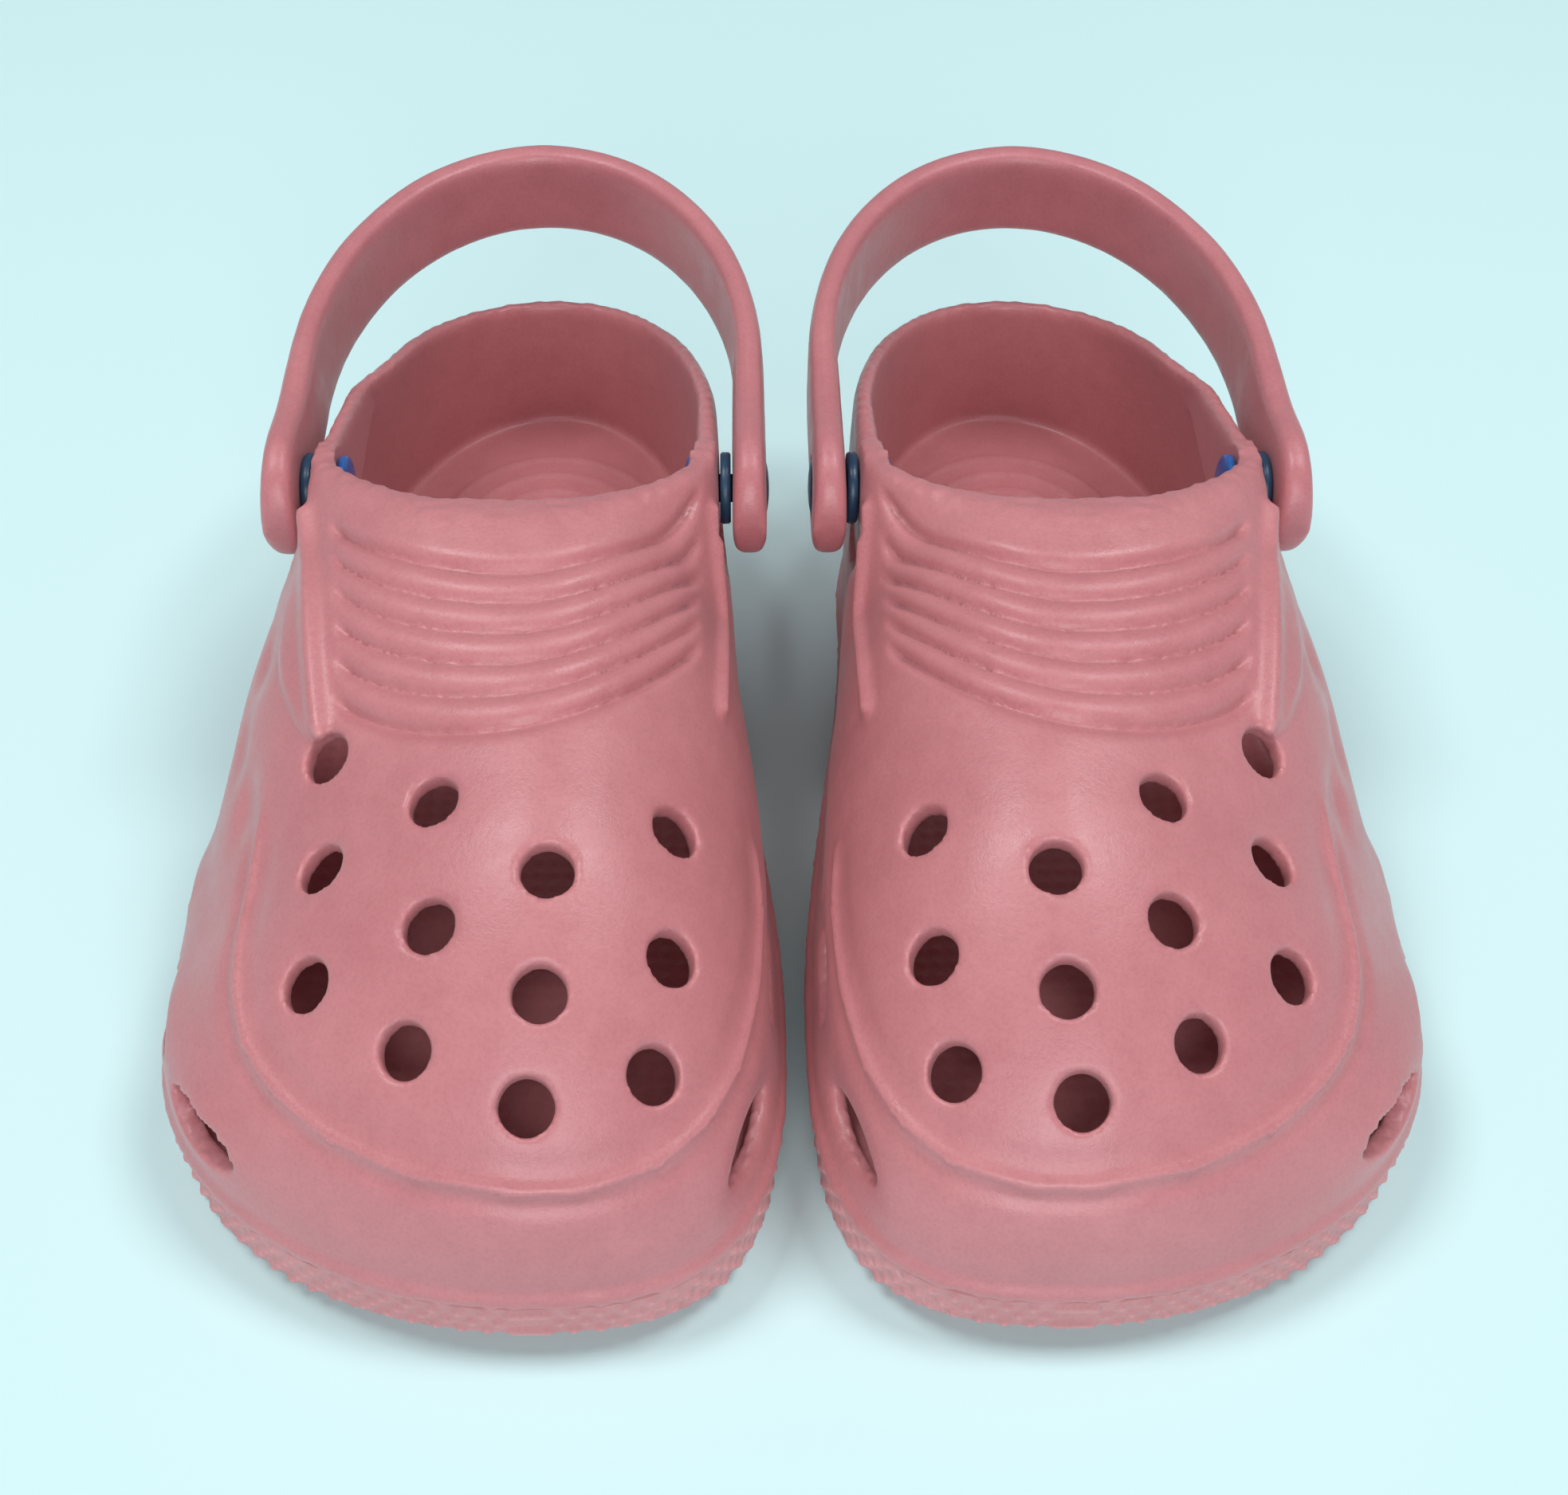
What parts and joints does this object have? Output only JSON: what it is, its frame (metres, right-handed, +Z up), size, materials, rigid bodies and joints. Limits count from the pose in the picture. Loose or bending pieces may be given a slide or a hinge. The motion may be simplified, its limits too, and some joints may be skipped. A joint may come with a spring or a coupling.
{
  "type": "garden clog pair",
  "caption": "Pair of moulded foam garden clogs with a vented toe box, a ribbed instep, a separate tread sole and a riveted heel strap that swings forward.",
  "frame": {"origin": "middle of the pair's box, on the ground", "axes": "+X from the wearer's right clog to the left one, toes towards -Y and heels towards +Y, +Z up"},
  "size_m": [0.2152, 0.2354, 0.0903],
  "materials": {
    "upper_foam": "satin closed-cell foam, dusty rose",
    "tread_foam": "matt dimpled foam, dusty rose",
    "strap_foam": "satin closed-cell foam, dusty rose",
    "cap_plastic": "moulded blue plastic",
    "navy_plastic": "moulded navy plastic of the washers and studs"
  },
  "bodies": {
    "right_clog": {"right_shell": "upper_foam", "right_outsole": "tread_foam", "right_lateral_rivet_stud": "navy_plastic", "right_lateral_rivet_cap": "cap_plastic", "right_lateral_washer": "navy_plastic", "right_medial_rivet_stud": "navy_plastic", "right_medial_rivet_cap": "cap_plastic", "right_medial_washer": "navy_plastic"},
    "right_strap": {"right_heel_strap": "strap_foam"},
    "left_clog": {"left_shell": "upper_foam", "left_outsole": "tread_foam", "left_lateral_rivet_stud": "navy_plastic", "left_lateral_rivet_cap": "cap_plastic", "left_lateral_washer": "navy_plastic", "left_medial_rivet_stud": "navy_plastic", "left_medial_rivet_cap": "cap_plastic", "left_medial_washer": "navy_plastic"},
    "left_strap": {"left_heel_strap": "strap_foam"}
  },
  "joints": [
    {"name": "right_strap_pivot", "type": "hinge", "parent": "right_clog", "child": "right_strap", "pos_m": [-0.0497, 0.02025, 0.069], "axis": [1, 0, 0], "range_deg": [-7, 150]},
    {"name": "pair_apart", "type": "slide", "parent": "right_clog", "child": "left_clog", "axis": [1, 0, 0], "range_m": [0, 0.15]},
    {"name": "left_strap_pivot", "type": "hinge", "parent": "left_clog", "child": "left_strap", "pos_m": [0.0497, 0.02025, 0.069], "axis": [1, 0, 0], "range_deg": [-7, 150]}
  ]
}
